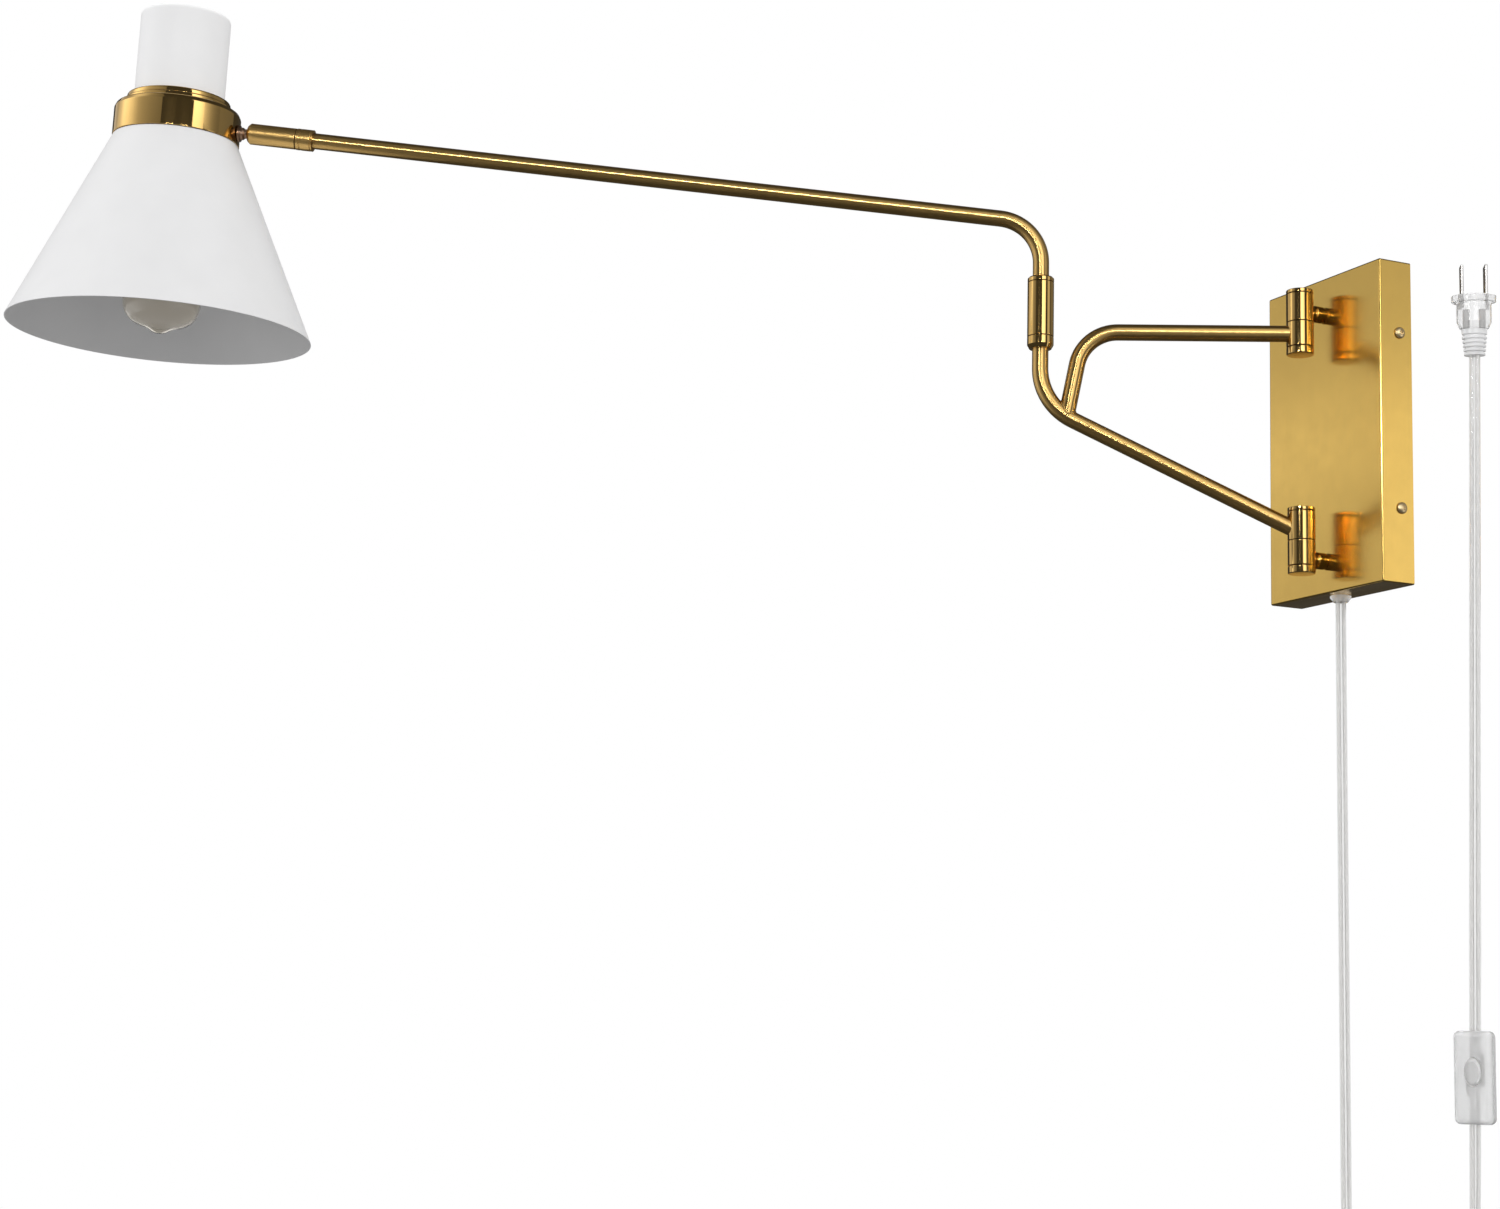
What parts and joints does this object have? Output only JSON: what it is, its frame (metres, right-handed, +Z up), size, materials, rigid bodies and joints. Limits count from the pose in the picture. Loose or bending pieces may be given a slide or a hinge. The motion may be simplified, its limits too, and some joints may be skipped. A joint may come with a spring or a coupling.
{
  "type": "swing arm wall sconce",
  "caption": "Plug-in wall sconce with a two-knuckle swing arm, a ball-jointed cone shade, a clear cord, an inline switch and a plug.",
  "frame": {"origin": "middle of the wall bracket's back face, on the wall", "axes": "+Y into the wall, +Z up, +X to the right for someone who faces the wall"},
  "size_m": [0.5486, 0.713, 0.7541],
  "materials": {
    "satin_brass": "satin lacquered",
    "polished_brass": "polished",
    "tube_brass": "polished, darker drawn tube",
    "aged_brass": "aged",
    "zinc_steel": "zinc plated",
    "blade_brass": "plain",
    "bulb_cap_metal": "plain",
    "screw_shell_copper": "plain",
    "shade_white": "matte white powder coat",
    "lampholder_body": "plain",
    "clear_glass": "clear",
    "black_nylon": "plain",
    "wire_insulation": "plain",
    "clear_cord": "clear",
    "clear_plastic": "clear"
  },
  "bodies": {
    "wall_side": {"mounting_bracket": "zinc_steel", "canopy": "satin_brass", "canopy_screw_upper_left": "polished_brass", "canopy_screw_upper_right": "polished_brass", "canopy_screw_lower_left": "polished_brass", "canopy_screw_lower_right": "polished_brass", "upper_stud": "polished_brass", "upper_stud_nut": "zinc_steel", "lower_stud": "polished_brass", "lower_stud_nut": "zinc_steel", "cord_strain_relief": "clear_cord", "wire_connector_1": "wire_insulation", "wire_connector_2": "wire_insulation", "upper_fixed_hub": "polished_brass", "upper_fixed_cap": "polished_brass", "upper_knuckle_pin": "zinc_steel", "upper_knuckle_washer": "black_nylon", "lower_fixed_hub": "polished_brass", "lower_fixed_cap": "polished_brass", "lower_knuckle_pin": "zinc_steel", "lower_knuckle_washer": "black_nylon", "cord_drop": "clear_cord", "cord_coil": "clear_cord", "coil_tie": "black_nylon", "cord_rise_lower": "clear_cord", "cord_rise_upper": "clear_cord", "switch_base": "clear_plastic", "switch_cover": "clear_plastic", "plug_body": "clear_plastic", "plug_blade_narrow": "blade_brass", "plug_blade_wide": "blade_brass"},
    "lower_arm": {"lower_arm_tube": "tube_brass", "strut_tube": "tube_brass", "upper_moving_hub": "polished_brass", "upper_moving_cap": "polished_brass", "lower_moving_hub": "polished_brass", "lower_moving_cap": "polished_brass", "lower_arm_wire": "wire_insulation", "pivot_lower_ring": "polished_brass", "pivot_spindle": "zinc_steel"},
    "upper_arm": {"pivot_washer": "black_nylon", "pivot_barrel": "polished_brass", "pivot_upper_ring": "polished_brass", "upper_arm_tube": "tube_brass", "upper_arm_wire": "wire_insulation", "arm_end_ring": "tube_brass"},
    "swivel_handle": {"swivel_handle": "tube_brass"},
    "head": {"swivel_ball": "aged_brass", "ball_nut": "zinc_steel", "collar_ring": "polished_brass", "carrier_plate": "zinc_steel", "lamp_nipple": "zinc_steel", "lampholder": "lampholder_body", "screw_shell": "screw_shell_copper", "bulb_base": "bulb_cap_metal", "bulb_glass": "clear_glass", "bulb_stem": "clear_glass", "shade_neck": "shade_white", "shade_cone": "shade_white"},
    "switch_button": {"switch_button": "clear_plastic"}
  },
  "joints": [
    {"name": "wall_swing", "type": "hinge", "parent": "wall_side", "child": "lower_arm", "pos_m": [0, -0.0382, 0], "axis": [0, 0, 1], "range_deg": [-51, 109]},
    {"name": "middle_swing", "type": "hinge", "parent": "lower_arm", "child": "upper_arm", "pos_m": [-0.07253, -0.16904, 0], "axis": [0, 0, 1], "range_deg": [-165, 165]},
    {"name": "head_roll", "type": "hinge", "parent": "upper_arm", "child": "swivel_handle", "pos_m": [-0.30068, -0.58064, 0.17536], "axis": [-0.4819, -0.8693, 0.1097], "range_deg": [-170, 170]},
    {"name": "head_tilt", "type": "hinge", "parent": "swivel_handle", "child": "head", "pos_m": [-0.30068, -0.58064, 0.17536], "axis": [0.8746, -0.4848, 0], "range_deg": [-22, 15]},
    {"name": "switch_rocker", "type": "hinge", "parent": "wall_side", "child": "switch_button", "pos_m": [0.11664, -0.01936, -0.3605], "axis": [0.766, 0.6428, 0], "range_deg": [-14, 0]}
  ]
}
